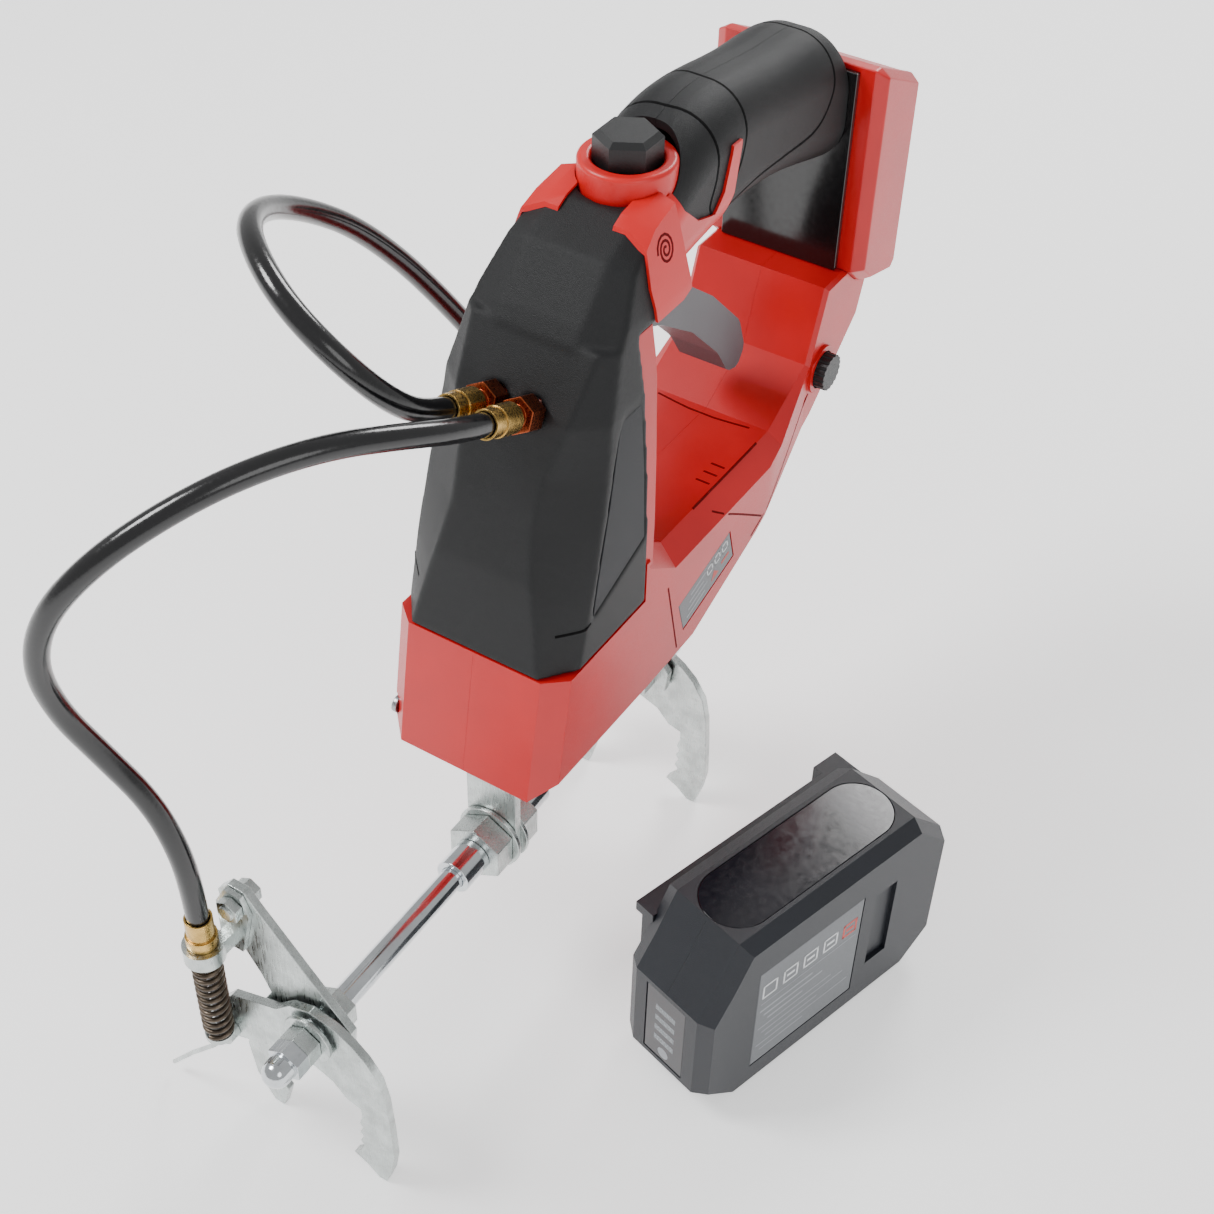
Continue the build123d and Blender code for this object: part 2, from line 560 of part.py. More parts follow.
def build_cables():
    cable("cable_front", FRONT_ROUTE)
    cable("cable_rear", REAR_ROUTE)
    adjusters = Part()
    ferrules = Part()
    for side in (-1, 1):
        adjusters += hexagon(fitting_point(side, 0.9), FITTING_DIR, 10, 7, 1.1)
        adjusters += ring(fitting_point(side, 7.9), FITTING_DIR, 3.2, 1.1, 3)
        adjusters += ring(fitting_point(side, -6), FITTING_DIR, 3.0, 1.1, 6.9)
        ferrules += ring(fitting_point(side, 11), FITTING_DIR, 4.6, 1.1, 7.9)
        ferrules += ring(fitting_point(side, 18.9), FITTING_DIR, 4.3, 3.65, 5)
    ferrule = ring((CABLE_X, STOP_Y, STOP_Z - 3.8), UP, 4.5, 1.2, 8)
    ferrule += ring((CABLE_X, STOP_Y, STOP_Z + 4.2), UP, 4.9, 1.2, 3.6)
    ferrule += ring((CABLE_X, STOP_Y, STOP_Z + 7.8), UP, 4.3, 3.65, 7.5)
    keep("cable_adjusters", adjusters)
    keep("cable_ferrules", ferrules + fore_and_aft(ferrule))


# ---------------------------------------------------------------- battery pack
def in_battery(shape):
    """Move a shape from the pack's own frame to where the pack stands."""
    return Pos(BATTERY_X, BATTERY_Y, FLOOR_Z) * Rot(0, 0, BATTERY_YAW) * shape


def build_battery():
    half_l, half_t, high = BATTERY_LENGTH / 2, BATTERY_THICK / 2, BATTERY_HIGH
    outline = [(-half_l + 14, 0), (half_l - 14, 0), (half_l, 12), (half_l, 50), (half_l - 8, 62),
               (half_l - 16, high), (-half_l + 16, high), (-half_l, 60), (-half_l, 12)]
    body = crowned(outline, 3, half_t - 5, half_t)
    hollow = crowned(inset(outline, 2.2), 3, half_t - 7.4, half_t - 2.2)
    shell = body - hollow
    rails = block(-42, 46, -half_t - 7, -half_t + 1, 10, 14) + block(-42, 46, -half_t - 7, -half_t + 1, 60, 64)
    rails += block(-42, 46, -half_t - 4, -half_t + 1, 13, 61)
    rails += block(-52, -41, -half_t - 12, -half_t + 1, 14.5, 62)
    shell += rails - block(-50.4, -41.6, -half_t - 13, -half_t - 3, 29.6, 46.4)
    shell -= block(half_l - 3, half_l + 1, -9, 9, 14, 48)
    shell -= slab([(-30, 20), (-20, 20), (-20, 56), (-30, 56)], half_t - 1.6, half_t + 1)
    label = slab([(-14, 11), (34, 11), (34, 60), (-14, 60)], half_t - 0.8, half_t + 1)
    shell -= label
    top_label = Pos(0, 0, high - 1.2) * extrude(SlotOverall(80, 25), amount=3)
    shell -= top_label
    front = shell & block(-80, 80, -0.02, 60, -5, 90)
    back = shell & block(-80, 80, -60, -0.06, -5, 90)
    keep("battery_case_front", in_battery(front))
    keep("battery_case_back", in_battery(back))
    keep("battery_label", in_battery(slab([(-13.8, 11.2), (33.8, 11.2), (33.8, 59.8), (-13.8, 59.8)],
                                          half_t - 0.75, half_t - 0.1)))
    keep("battery_top_panel", in_battery(Pos(0, 0, high - 1.15) * extrude(SlotOverall(79.6, 24.6), amount=1.1)))
    keep("charge_gauge", in_battery(block(half_l - 2.1, half_l - 0.2, -8.8, 8.8, 14.2, 47.8)))
    latch = block(-50, -42, -half_t - 14, -half_t - 6, 30, 46)
    keep("battery_latch", in_battery(chamfer(latch.edges().filter_by(Axis.Z), 0.8)))
    cells = Part()
    for y, z in ((-7.6, 13), (7.6, 23.2), (-7.6, 33.4), (7.6, 43.6), (-7.6, 53.8)):
        cells += pin((-32.5, y, z), FORE, 9.0, 65)
    keep("battery_cells", in_battery(cells))


build_housing()
build_cover()
build_side_panels()
build_grips()
build_trims()
build_mount()
build_buttons()
build_trigger()
build_drive()
build_electrics()
build_screws()
build_rod()
build_fixed_claws()
build_hook(1, "front")
build_hook(-1, "rear")
build_cables()
build_battery()
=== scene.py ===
import bpy
import bmesh
import json
import math
from mathutils import Matrix, Vector
from mathutils.bvhtree import BVHTree


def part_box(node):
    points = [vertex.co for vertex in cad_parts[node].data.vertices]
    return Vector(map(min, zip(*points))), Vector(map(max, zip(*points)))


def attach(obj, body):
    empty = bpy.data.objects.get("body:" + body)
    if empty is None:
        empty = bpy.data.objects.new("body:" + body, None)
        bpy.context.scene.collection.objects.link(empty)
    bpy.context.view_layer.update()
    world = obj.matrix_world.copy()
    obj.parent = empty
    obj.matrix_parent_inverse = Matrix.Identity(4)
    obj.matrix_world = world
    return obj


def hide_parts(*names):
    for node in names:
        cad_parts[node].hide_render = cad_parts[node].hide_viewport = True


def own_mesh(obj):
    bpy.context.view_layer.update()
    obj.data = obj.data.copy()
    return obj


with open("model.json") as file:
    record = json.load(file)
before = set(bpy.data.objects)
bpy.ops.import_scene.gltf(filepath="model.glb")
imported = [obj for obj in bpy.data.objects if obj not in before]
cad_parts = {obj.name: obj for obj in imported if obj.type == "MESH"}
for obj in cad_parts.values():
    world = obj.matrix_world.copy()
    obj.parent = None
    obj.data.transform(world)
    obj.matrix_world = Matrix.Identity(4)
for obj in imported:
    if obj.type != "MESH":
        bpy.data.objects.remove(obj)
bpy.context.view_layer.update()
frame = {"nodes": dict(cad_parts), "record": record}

NODES = frame["nodes"]
MM = 0.001
FLOOR = -0.061
SIDES = ((1, "left"), (-1, "right"))


# ---------------------------------------------------------------- materials
COAT_ROUGHNESS = 0.12
BUMP_DEPTH = 0.0004
LEAST_ROUGHNESS = 0.03
DARK_SPECK = 0.35


def srgb(red, green, blue):
    """Linear colour from screen values of 0 to 255."""
    def linear(value):
        value /= 255
        return value / 12.92 if value <= 0.04045 else ((value + 0.055) / 1.055) ** 2.4
    return (linear(red), linear(green), linear(blue), 1.0)


def toned(colour, factor):
    return tuple(min(1, channel * factor) for channel in colour[:3]) + (1,)


def noise(tree, vector, scale, detail):
    node = tree.nodes.new("ShaderNodeTexNoise")
    node.inputs["Scale"].default_value = scale
    node.inputs["Detail"].default_value = detail
    tree.links.new(vector, node.inputs["Vector"])
    return node.outputs["Fac"]


def ranged(tree, value, start, end, low, high):
    """Maps start to end of the value on to low to high."""
    node = tree.nodes.new("ShaderNodeMapRange")
    node.inputs["From Min"].default_value = start
    node.inputs["From Max"].default_value = end
    node.inputs["To Min"].default_value = low
    node.inputs["To Max"].default_value = high
    tree.links.new(value, node.inputs["Value"])
    return node.outputs["Result"]


def drifting(tree, value, low, high):
    """Colour that drifts between two tones."""
    ramp = tree.nodes.new("ShaderNodeValToRGB")
    for element, position, tone in zip(ramp.color_ramp.elements, (0.32, 0.68), (low, high)):
        element.position = position
        element.color = tone
    tree.links.new(value, ramp.inputs["Fac"])
    return ramp.outputs["Color"]


def speckled(tree, shade, place, tone, grain, amount):
    """The shade with small patches of a darker tone over it."""
    mask = ranged(tree, noise(tree, place, grain * 0.35, 6), 0.6, 0.72, 0, amount)
    mix = tree.nodes.new("ShaderNodeMixRGB")
    mix.inputs["Color2"].default_value = tone
    tree.links.new(mask, mix.inputs["Fac"])
    tree.links.new(shade, mix.inputs["Color1"])
    return mix.outputs["Color"]


def shader_of(made):
    return next(n for n in made.node_tree.nodes if n.type == "BSDF_PRINCIPLED")


def material(name, colour, rough, metal=0.0, spread=0.12, grain=900.0, bump=0.05, patch=45.0,
             stretch=(1, 1, 1), coat=0.0, spec=0.5, rough_spread=0.1, specks=0.0):
    """Principled material with broad tone drift, fine grain in the gloss and a fine bump."""
    made = bpy.data.materials.new(name)
    made.use_nodes = True
    tree = made.node_tree
    shader = shader_of(made)
    shader.inputs["Metallic"].default_value = metal
    shader.inputs["Specular IOR Level"].default_value = spec
    shader.inputs["Coat Weight"].default_value = coat
    shader.inputs["Coat Roughness"].default_value = COAT_ROUGHNESS
    place = tree.nodes.new("ShaderNodeTexCoord").outputs["Object"]
    mapping = tree.nodes.new("ShaderNodeMapping")
    mapping.inputs["Scale"].default_value = stretch
    tree.links.new(place, mapping.inputs["Vector"])
    broad = noise(tree, place, patch, 4)
    shade = drifting(tree, broad, toned(colour, 1 - spread), toned(colour, 1 + spread))
    if specks:
        shade = speckled(tree, shade, place, toned(colour, DARK_SPECK), grain, specks)
    tree.links.new(shade, shader.inputs["Base Color"])
    fine = noise(tree, mapping.outputs["Vector"], grain, 3)
    glossy = max(LEAST_ROUGHNESS, rough - rough_spread)
    gloss = ranged(tree, fine, 0.3, 0.7, glossy, min(1.0, rough + rough_spread))
    tree.links.new(gloss, shader.inputs["Roughness"])
    relief = tree.nodes.new("ShaderNodeBump")
    relief.inputs["Strength"].default_value = bump
    relief.inputs["Distance"].default_value = BUMP_DEPTH
    tree.links.new(fine, relief.inputs["Height"])
    tree.links.new(relief.outputs["Normal"], shader.inputs["Normal"])
    return made


LOOKS = {
    "housing_red": dict(colour=srgb(196, 10, 16), rough=0.34, spread=0.06, grain=2600, bump=0.12,
                        rough_spread=0.05),
    "cover_black": dict(colour=srgb(15, 16, 18), rough=0.52, spread=0.12, grain=4200, bump=0.4,
                        rough_spread=0.08, spec=0.35),
    "panel_grey": dict(colour=srgb(42, 43, 46), rough=0.6, spread=0.1, grain=5200, bump=0.5,
                       rough_spread=0.06, spec=0.35),
    "trim_red": dict(colour=srgb(212, 22, 24), rough=0.36, spread=0.06, grain=2600, bump=0.1,
                     rough_spread=0.05),
    "mount_black": dict(colour=srgb(11, 11, 12), rough=0.16, spread=0.2, grain=500, bump=0.03,
                        rough_spread=0.04, coat=0.4),
    "trigger_grey": dict(colour=srgb(74, 76, 80), rough=0.42, spread=0.08, grain=3000, bump=0.15),
    "button_black": dict(colour=srgb(16, 17, 19), rough=0.45, spread=0.14, grain=3600, bump=0.25),
    "label_grey": dict(colour=srgb(96, 99, 103), rough=0.4, spread=0.08, grain=2200, bump=0.06),
    "zinc": dict(colour=srgb(190, 196, 194), rough=0.3, metal=1.0, spread=0.16, grain=1500, bump=0.12,
                 patch=160, stretch=(1, 1, 0.12), specks=0.3),
    "chrome": dict(colour=srgb(205, 209, 212), rough=0.14, metal=1.0, spread=0.1, grain=1200, bump=0.05,
                   patch=120, stretch=(0.08, 1, 1), rough_spread=0.07, specks=0.15),
    "brass": dict(colour=srgb(196, 160, 92), rough=0.28, metal=1.0, spread=0.25, grain=1600, bump=0.08,
                  patch=260, specks=0.4),
    "copper": dict(colour=srgb(158, 78, 48), rough=0.3, metal=1.0, spread=0.3, grain=1600, bump=0.1,
                   patch=260, specks=0.4),
    "cable_black": dict(colour=srgb(13, 13, 15), rough=0.2, spread=0.15, grain=900, bump=0.08,
                        rough_spread=0.06, coat=0.3),
    "spring_steel": dict(colour=srgb(92, 82, 72), rough=0.36, metal=1.0, spread=0.35, grain=1800,
                         bump=0.1, patch=320, specks=0.5),
    "steel": dict(colour=srgb(160, 162, 165), rough=0.32, metal=1.0, spread=0.12, grain=1800, bump=0.08,
                  patch=140),
    "copper_wire": dict(colour=srgb(30, 70, 44), rough=0.5, spread=0.1, grain=1500, bump=0.1),
    "battery_navy": dict(colour=srgb(19, 23, 31), rough=0.46, spread=0.1, grain=3800, bump=0.3,
                         rough_spread=0.07),
    "panel_gloss": dict(colour=srgb(14, 12, 22), rough=0.16, spread=0.2, grain=500, bump=0.02,
                        rough_spread=0.04, coat=0.15),
    "cell_wrap": dict(colour=srgb(60, 110, 150), rough=0.4, spread=0.08, grain=900, bump=0.05),
}
MATS = {name: material(name, **look) for name, look in LOOKS.items()}
GROOVE = material("groove_shadow", srgb(5, 5, 6), 0.8, spread=0.2, grain=2600, bump=0.1, spec=0.1)
SEAM = material("seam_shadow", srgb(96, 6, 9), 0.7, spread=0.15, grain=2600, bump=0.1, spec=0.1)
INK = material("pale_ink", srgb(212, 214, 216), 0.5, spread=0.06, grain=2200, bump=0.03)
DIM_INK = material("dim_ink", srgb(150, 153, 158), 0.55, spread=0.08, grain=2200, bump=0.03)
RED_INK = material("red_ink", srgb(196, 62, 52), 0.5, spread=0.08, grain=2200, bump=0.03)
LED = material("led_lens", srgb(118, 124, 128), 0.25, spread=0.08, grain=1200, bump=0.02)


def dress(obj, look, body):
    """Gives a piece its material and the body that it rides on."""
    obj.data.materials.clear()
    obj.data.materials.append(look)
    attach(obj, body)


# ---------------------------------------------------------------- finished copies of the CAD nodes
record = frame["record"]
body_of_node = {}
for body, members in record["behaviour"]["bodies"].items():
    for member in members:
        body_of_node[member] = body
slot_of_node = {p["node"]: p["material_slot"] for p in record["subparts"]}

# bevel of a node's edges: width in mm, segments and the least angle in degrees between two faces
PLAIN_BEVEL = (0.3, 2, 28)
BEVELS = {
    "housing_left": (1.1, 3, 11), "housing_right": (1.1, 3, 11), "front_cover": (1.2, 3, 11),
    "battery_mount": (0.8, 2, 20), "battery_case_front": (1.0, 3, 20), "battery_case_back": (1.0, 3, 20),
    "side_panels": (0.4, 2, 24), "trim_pieces": (0.4, 2, 30), "trigger": (1.6, 3, 18),
    "grip_left": (0.5, 2, 30), "grip_right": (0.5, 2, 30), "lock_button": (0.9, 3, 28),
    "anchor_arms": (0.35, 2, 30), "hook_arm_front": (0.35, 2, 30), "hook_arm_rear": (0.35, 2, 30),
    "battery_top_panel": (0.25, 2, 28), "battery_latch": (0.5, 2, 28),
}
# soft overmould: voxel in mm and smoothing passes
MOULDED = {"front_cover": (0.7, 14)}
# cable sheaths, which are made again as curves further down
CURVED = ("cable_front", "cable_rear")
# springs and bare wires: the joint that shortens them, the height of their fixed end in mm, the share kept
SHORTENED = {
    "return_spring_front": ("front_claw_close", 18.8, 0.62),
    "return_spring_rear": ("rear_claw_close", 18.8, 0.62),
    "pull_wire_front": ("front_claw_close", 23.0, 0.66),
    "pull_wire_rear": ("rear_claw_close", 23.0, 0.66),
    "lock_spring": ("lock_button_press", 192.1, 0.7),
}
WELD = 2e-6
FLAT_ANGLE = math.radians(0.6)


def free_copy(node):
    """Copy of a node's mesh at the same place, with no parent."""
    obj = NODES[node].copy()
    obj.data = NODES[node].data.copy()
    obj.name = node + "_finish"
    bpy.context.scene.collection.objects.link(obj)
    obj.parent = None
    obj.matrix_world = Matrix.Identity(4)
    return obj


def stand_in(obj, node):
    """Puts the copy in the node's place, with its look and its body."""
    slot = slot_of_node[node]
    dress(obj, MATS[slot], body_of_node[node])
    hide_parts(node)


def soften(node, width, segments, angle):
    """Copy of a node with bevelled edges and smooth shading."""
    obj = free_copy(node)
    obj.data.name = obj.name
    shape = bmesh.new()
    shape.from_mesh(obj.data)
    bmesh.ops.remove_doubles(shape, verts=shape.verts, dist=WELD)
    bmesh.ops.dissolve_limit(shape, angle_limit=FLAT_ANGLE, verts=shape.verts, edges=shape.edges)
    shape.to_mesh(obj.data)
    shape.free()
    obj.data.polygons.foreach_set("use_smooth", [True] * len(obj.data.polygons))
    obj.data.update()
    bevel = obj.modifiers.new("soft_edges", "BEVEL")
    bevel.width = width * MM
    bevel.segments = segments
    bevel.limit_method = "ANGLE"
    bevel.angle_limit = math.radians(angle)
    bevel.harden_normals = True
    bevel.use_clamp_overlap = True
    even = obj.modifiers.new("even_normals", "WEIGHTED_NORMAL")
    even.keep_sharp = True
    stand_in(obj, node)
    return obj


def mould(obj, voxel, passes):
    """Rounds a shell all over, as a soft overmould is: an even skin, smoothed."""
    obj.modifiers.clear()
    skin = obj.modifiers.new("even_skin", "REMESH")
    skin.mode = "VOXEL"
    skin.voxel_size = voxel * MM
    skin.use_smooth_shade = True
    ease = obj.modifiers.new("ease", "SMOOTH")
    ease.factor = 0.5
    ease.iterations = passes


def shortening(node):
    """Copy of a spring or wire, put in the node's place with its look and its body."""
    obj = free_copy(node)
    stand_in(obj, node)
    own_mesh(obj)


for node in sorted(NODES):
    NODES[node].data.materials.clear()
    NODES[node].data.materials.append(MATS[slot_of_node[node]])
    if node in CURVED or node in SHORTENED:
        continue
    finish = soften(node, *BEVELS.get(node, PLAIN_BEVEL))
    if node in MOULDED:
        mould(finish, *MOULDED[node])

for node, (joint, fixed_z, keep) in SHORTENED.items():
    shortening(node)


# ---------------------------------------------------------------- helpers for added pieces
STRIP_LIFT = 0.05 * MM
STRIP_CROWN = 0.03 * MM
REACH = 0.2


def mesh_object(name, verts, faces):
    data = bpy.data.meshes.new(name)
    data.from_pydata([tuple(v) for v in verts], [], faces)
    data.validate()
    data.update()
    obj = bpy.data.objects.new(name, data)
    bpy.context.scene.collection.objects.link(obj)
    return obj


def smooth_line(points, per=6):
    """Catmull-Rom curve through the points, with per steps between two of them."""
    places = [Vector(p) for p in points]
    last = len(places) - 1
    line = []
    for i in range(last):
        a, b, c, d = (places[max(0, min(k, last))] for k in (i - 1, i, i + 1, i + 2))
        for k in range(per):
            t = k / per
            line.append(0.5 * ((2 * b) + (c - a) * t + (2 * a - 5 * b + 4 * c - d) * t * t
                               + (3 * b - a - 3 * c + d) * t ** 3))
    line.append(places[-1])
    return line


def tree_of(*nodes):
    """Search tree over the faces of the nodes."""
    verts, faces = [], []
    for node in nodes:
        mesh = NODES[node].data
        start = len(verts)
        verts += [v.co.copy() for v in mesh.vertices]
        faces += [[start + i for i in p.vertices] for p in mesh.polygons]
    return BVHTree.FromPolygons(verts, faces)


def on_surface(tree, points, direction):
    """(point, normal) where each point, sent along the direction, meets the surface."""
    line = []
    for point in points:
        hit, normal, _, _ = tree.ray_cast(Vector(point), Vector(direction).normalized(), REACH)
        if hit is not None:
            line.append((hit, normal))
    return line


def inlay(name, lines, width, sink, look, body):
    """Thin strips of five sides lying in a surface: each line is a list of (point, normal)."""
    verts, faces = [], []
    for line in lines:
        count = len(line)
        if count < 2:
            continue
        base = len(verts)
        for i, (point, normal) in enumerate(line):
            ahead = line[min(i + 1, count - 1)][0] - line[max(i - 1, 0)][0]
            side = ahead.cross(normal).normalized() * width / 2
            rise = normal.normalized()
            top = point + rise * STRIP_LIFT
            crown = top + side * 0.5 + rise * STRIP_CROWN
            verts += [top - side, crown, top + side, point + side - rise * sink, point - side - rise * sink]
        for i in range(count - 1):
            for k in range(5):
                a = base + i * 5 + k
                b = base + i * 5 + (k + 1) % 5
                faces.append((a, b, b + 5, a + 5))
        faces.append(tuple(base + k for k in range(5)))
        faces.append(tuple(base + (count - 1) * 5 + k for k in reversed(range(5))))
    dress(mesh_object(name, verts, faces), look, body)


# ---------------------------------------------------------------- cables
# sizes and places in mm; the fittings lean back from the front face's own direction
SHEATH = 7.0
FITTING_Y = 6.2
FACE = Vector((-12.0, 0, 167.0))
LEAN = math.radians(23)
AIM = Vector((math.cos(LEAN), 0, math.sin(LEAN)))


def fitting(side, distance):
    """Point on a fitting's axis, at a distance from the front face."""
    p = FACE + AIM * distance
    return (p.x, side * FITTING_Y, p.z)


FRONT_ROUTE = [
    fitting(1, 19), fitting(1, 34), (38, 1, 188), (57, -8, 193), (76, -19, 192),
    (93, -30, 186), (108, -42, 175), (117, -53, 159), (119, -59, 140), (115, -59, 120), (109, -53, 102),
    (104, -43, 84), (103.2, -36, 66), (103.2, -34, 47), (103.2, -34, 31),
]
REAR_ROUTE = [
    fitting(-1, 19), fitting(-1, 34), (31, -9, 191), (39, -18, 205), (39, -33, 215),
    (31, -49, 220), (17, -64, 218), (-2, -74, 210), (-22, -77, 198), (-40, -76, 184), (-56, -72, 166),
    (-69, -67, 147), (-80, -61, 128), (-90, -54, 108), (-98, -46, 88), (-103, -38.5, 67),
    (-103.2, -34, 47), (-103.2, -34, 31),
]


def nurbs_cable(name, node, route):
    curve = bpy.data.curves.new(name, "CURVE")
    curve.dimensions = "3D"
    curve.bevel_depth = SHEATH / 2 * MM
    curve.bevel_resolution = 6
    curve.resolution_u = 12
    curve.use_fill_caps = True
    spline = curve.splines.new("NURBS")
    spline.points.add(len(route) - 1)
    for point, place in zip(spline.points, route):
        point.co = (place[0] * MM, place[1] * MM, place[2] * MM, 1)
    spline.order_u = 3
    spline.use_endpoint_u = True
    obj = bpy.data.objects.new(name, curve)
    bpy.context.scene.collection.objects.link(obj)
    dress(obj, MATS["cable_black"], "tool")
    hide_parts(node)


nurbs_cable("cable_front_sheath", "cable_front", FRONT_ROUTE)
nurbs_cable("cable_rear_sheath", "cable_rear", REAR_ROUTE)


# ---------------------------------------------------------------- lines in the surfaces, places in mm
GRIP = tree_of("grip_left", "grip_right")
COVER = tree_of("front_cover")
SHELL = tree_of("housing_left", "housing_right")
TRIMS = tree_of("trim_pieces")
OUTSIDE = 60
GRIP_AXIS_Z = 201
GRIP_BEND_X = -120
GRIP_DROOP = 0.12
OPENING_Z = 140


def round_grip(stations):
    """Points on the grip from (x, angle) pairs: 0 is straight up and 90 the left flank."""
    line = []
    for station in smooth_line([(x, angle, 0) for x, angle in stations], 8):
        x, angle = station.x, math.radians(station.y)
        aim = Vector((0, math.sin(angle), math.cos(angle)))
        centre = Vector((x, 0, GRIP_AXIS_Z - max(0.0, (GRIP_BEND_X - x) * GRIP_DROOP))) * MM
        line += on_surface(GRIP, [centre + aim * 0.05], -aim)
    return line


def flank_line(tree, points, side=1, per=5):
    """Points on one flank from (x, z) pairs."""
    start = [Vector((x, side * OUTSIDE, z)) * MM for x, z in points]
    return on_surface(tree, smooth_line(start, per), (0, -side, 0))


def floor_line(points):
    """Points on the floor of the hand opening from (x, y) pairs."""
    start = [Vector((x, y, OPENING_Z)) * MM for x, y in points]
    return on_surface(SHELL, smooth_line(start, 4), (0, 0, -1))


inlay("grip_lines", [
    round_grip([(-88, -70), (-90, -20), (-91, 10), (-92, 45), (-91, 75), (-88, 100), (-92, 118)]),
    round_grip([(-113, -70), (-111, -30), (-110, 5), (-109, 40), (-106, 75), (-101, 100), (-99, 122),
                (-112, 116), (-135, 108), (-152, 100), (-160, 80), (-164, 45), (-165, 5), (-164, -30),
                (-160, -70)]),
], 1.0 * MM, 0.3 * MM, GROOVE, "tool")

for side, word in SIDES:
    inlay("cheek_line_" + word, [flank_line(COVER, [(-6.2, 104.4), (-2, 103.2), (3, 102.6)], side)],
          0.9 * MM, 0.3 * MM, GROOVE, "tool")

inlay("shell_lines", [
    flank_line(SHELL, [(-118, 68), (-96, 84), (-84, 92)]),
    flank_line(SHELL, [(-60, 52), (-52, 84)]),
    flank_line(SHELL, [(-168, 108), (-150, 92), (-128, 76), (-108, 66)]),
], 0.7 * MM, 0.2 * MM, SEAM, "tool")

floor_lines = [
    floor_line([(-60, -20), (-60, 0), (-60, 20)]),
    floor_line([(-126, -18), (-124, 0), (-126, 18)]),
    floor_line([(-78, 24), (-90, 24), (-120, 24)]),
    floor_line([(-78, -24), (-90, -24), (-120, -24)]),
]
for x in (-92, -97, -102):
    floor_lines.append(floor_line([(x, 17), (x, 22)]))
inlay("opening_floor_lines", floor_lines, 0.8 * MM, 0.2 * MM, SEAM, "tool")


# ---------------------------------------------------------------- printed marks, sizes in mm
MARK_LIFTS = (-0.06, 0.04)


def bar(u0, u1, v, thick):
    return [(u0, v), (u1, v), (u1, v + thick), (u0, v + thick)]


def frame_marks(u, v, size, thick):
    """Four bars around a square."""
    return [
        bar(u, u + size, v, thick),
        bar(u, u + size, v + size - thick, thick),
        bar(u, u + thick, v, size),
        bar(u + size - thick, u + size, v, size),
    ]


def round_mark(u, v, radius, sides=14):
    turns = [2 * math.pi * i / sides for i in range(sides)]
    return [(u + radius * math.cos(turn), v + radius * math.sin(turn)) for turn in turns]


def print_marks(name, marks, place, look, body):
    """Flat marks from (u, v) outlines: place(u, v, lift) gives a corner's point."""
    verts, faces = [], []
    for mark in marks:
        base = len(verts)
        n = len(mark)
        verts += [place(u, v, lift) for lift in MARK_LIFTS for u, v in mark]
        faces += [(base + i, base + (i + 1) % n, base + n + (i + 1) % n, base + n + i) for i in range(n)]
        faces.append(tuple(base + i for i in reversed(range(n))))
        faces.append(tuple(base + n + i for i in range(n)))
    dress(mesh_object(name, verts, faces), look, body)


# ---------------------------------------------------------------- battery marks, in the pack's own frame
low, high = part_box("battery_top_panel")
PACK = Vector(((low[0] + high[0]) / 2, (low[1] + high[1]) / 2, FLOOR))
TURN = math.radians(-16.3)
PACK_X = Vector((math.cos(TURN), math.sin(TURN), 0))
PACK_Y = Vector((-math.sin(TURN), math.cos(TURN), 0))
UP = Vector((0, 0, 1))
LABEL_Y = 18.9
GAUGE_X = 55.8
ICON = 6.6
ICON_PITCH = 9.2
ICON_Z = 45.5
LINE_STARTS = (8, 3, 12, -2, -8, 4, -11, 10)
LINE_END = 32
LINE_PITCH = 3.1
LED_PITCH = 5.2


def on_label(u, v, lift):
    return PACK + (PACK_X * u + PACK_Y * (LABEL_Y + lift) + UP * v) * MM


def on_gauge(u, v, lift):
    return PACK + (PACK_X * (GAUGE_X + lift) + PACK_Y * u + UP * v) * MM


icons = []
for k in range(3):
    icons += frame_marks(-2.5 + ICON_PITCH * k, ICON_Z, ICON, 0.7)
    icons.append(bar(-1 + ICON_PITCH * k, 2.5 + ICON_PITCH * k, 48.2, 1.1))
icons += frame_marks(25.2, ICON_Z, ICON, 0.7)
print_marks("label_icons", icons, on_label, INK, "battery_pack")
warning = frame_marks(-11.6, ICON_Z, ICON, 0.9) + [bar(-10, -6.6, 48, 1.4)]
print_marks("label_warning_icon", warning, on_label, RED_INK, "battery_pack")

lines = [bar(-12, LINE_END, 42.6, 0.35)]
for k, start in enumerate(LINE_STARTS):
    lines.append(bar(start, LINE_END - (k % 3) * 2, 38.6 - LINE_PITCH * k, 0.8 if k < 3 else 0.5))
print_marks("label_lines", lines, on_label, DIM_INK, "battery_pack")
leds = [bar(-4.5, 4.5, 22.5 + LED_PITCH * k, 2.6) for k in range(4)]
print_marks("gauge_leds", leds, on_gauge, LED, "battery_pack")
print_marks("gauge_key", [round_mark(0, 18, 2.4)], on_gauge, DIM_INK, "battery_pack")


# ---------------------------------------------------------------- rating plate marks
PLATE_CORNER = Vector((-64, 0, 57))
PLATE_DIR = Vector((-34, 0, 11)).normalized()
PLATE_UP = Vector((4, 0, 13)).normalized()
PLATE_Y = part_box("rating_plate")[1][1]


def on_plate(u, v, lift):
    p = PLATE_CORNER + PLATE_DIR * u + PLATE_UP * v
    return Vector((p.x * MM, PLATE_Y + lift * MM, p.z * MM))


plate_lines = [bar(3 + 1.4 * k, 15 + 2 * (k % 2), 2.4 + 2.6 * k, 0.8) for k in range(4)]
print_marks("plate_lines", plate_lines, on_plate, DIM_INK, "tool")
plate_icons = [mark for k in range(3) for mark in frame_marks(17.5 + 5 * k, 7, 3.8, 0.6)]
print_marks("plate_icons", plate_icons, on_plate, INK, "tool")
plate_accent = [[(19, 2), (24, 2), (21.5, 5.5)], bar(26, 31, 3, 1.2)]
print_marks("plate_accent", plate_accent, on_plate, RED_INK, "tool")


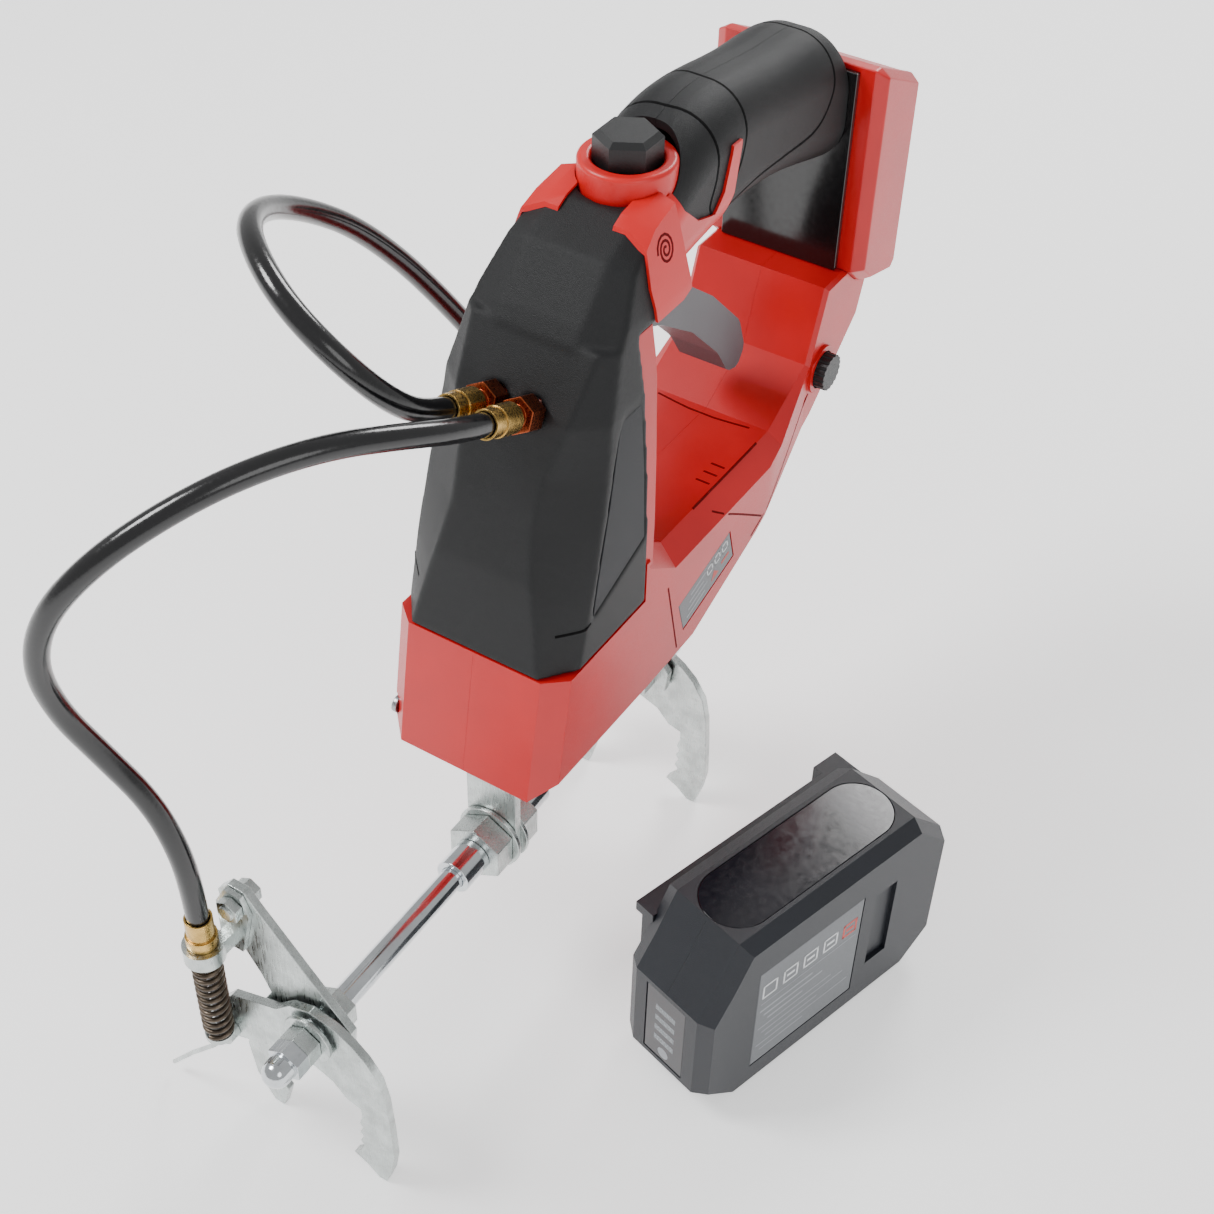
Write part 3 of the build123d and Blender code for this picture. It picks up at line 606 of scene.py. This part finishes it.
# ---------------------------------------------------------------- swirl on the trim's lobe
SWIRL_X, SWIRL_Z = -56, 202
SWIRL_RADIUS = 4.2
SWIRL_TIGHTEN = 0.11
SWIRL_STEP = 0.45
SWIRL_POINTS = 34
SWIRL_TALL = 1.1
LOBE_Y = 15 * MM


def swirl_point(i):
    angle = SWIRL_STEP * i
    radius = SWIRL_RADIUS - SWIRL_TIGHTEN * i
    return SWIRL_X + radius * math.cos(angle), SWIRL_Z + radius * SWIRL_TALL * math.sin(angle)


swirl = [swirl_point(i) for i in range(SWIRL_POINTS)]
for side, word in SIDES:
    start = [Vector((x, side * OUTSIDE, z)) * MM for x, z in swirl]
    hits = on_surface(TRIMS, start, (0, -side, 0))
    line = [(point, normal) for point, normal in hits if point.y * side > LOBE_Y]
    inlay("lobe_swirl_" + word, [line], 0.8 * MM, 0.3 * MM, SEAM, "tool")


# ---------------------------------------------------------------- camera, floor and light, in metres
CAMERA_PLACE = Vector((0.3393, 0.2445, 0.4826))
CAMERA_AIM = Vector((-0.0399, 0.0160, 0.0776))
CAMERA_ROLL = math.radians(1.8)
FLOOR_HALF = 6
FLOOR_GAP = 0.0003

camera_data = bpy.data.cameras.new("camera")
camera_data.lens = 56.34
camera_data.sensor_width = 36.0
camera_data.clip_start = 0.01
camera = bpy.data.objects.new("camera", camera_data)
bpy.context.scene.collection.objects.link(camera)
facing = (CAMERA_AIM - CAMERA_PLACE).to_track_quat("-Z", "Y").to_matrix().to_4x4()
camera.matrix_world = Matrix.Translation(CAMERA_PLACE) @ facing @ Matrix.Rotation(CAMERA_ROLL, 4, "Z")
bpy.context.scene.camera = camera

floor_corners = [(x * FLOOR_HALF, y * FLOOR_HALF, FLOOR - FLOOR_GAP)
                 for x, y in ((-1, -1), (1, -1), (1, 1), (-1, 1))]
floor = mesh_object("floor", floor_corners, [(0, 1, 2, 3)])
paper = material("floor_paper", srgb(246, 246, 246), 0.8, spread=0.004, grain=300, bump=0.0, spec=0.1)
shader_of(paper).inputs["Emission Color"].default_value = (1, 1, 1, 1)
shader_of(paper).inputs["Emission Strength"].default_value = 0.7
floor.data.materials.append(paper)


def area_light(name, place, aim, size, power):
    data = bpy.data.lights.new(name, "AREA")
    data.shape = "DISK"
    data.size = size
    data.energy = power
    obj = bpy.data.objects.new(name, data)
    bpy.context.scene.collection.objects.link(obj)
    obj.location = place
    obj.rotation_euler = (Vector(aim) - Vector(place)).to_track_quat("-Z", "Y").to_euler()


area_light("key", (0.5, -0.9, 1.3), (0, 0, 0.05), 0.6, 20)
area_light("fill", (0.6, 1.2, 0.9), (0, 0, 0.05), 0.9, 5)
area_light("rim", (-1.1, -0.1, 0.9), (-0.05, 0, 0.1), 0.5, 9)
world = bpy.data.worlds.new("studio")
world.use_nodes = True
world.node_tree.nodes["Background"].inputs["Color"].default_value = (1, 1, 1, 1)
world.node_tree.nodes["Background"].inputs["Strength"].default_value = 0.6
bpy.context.scene.world = world
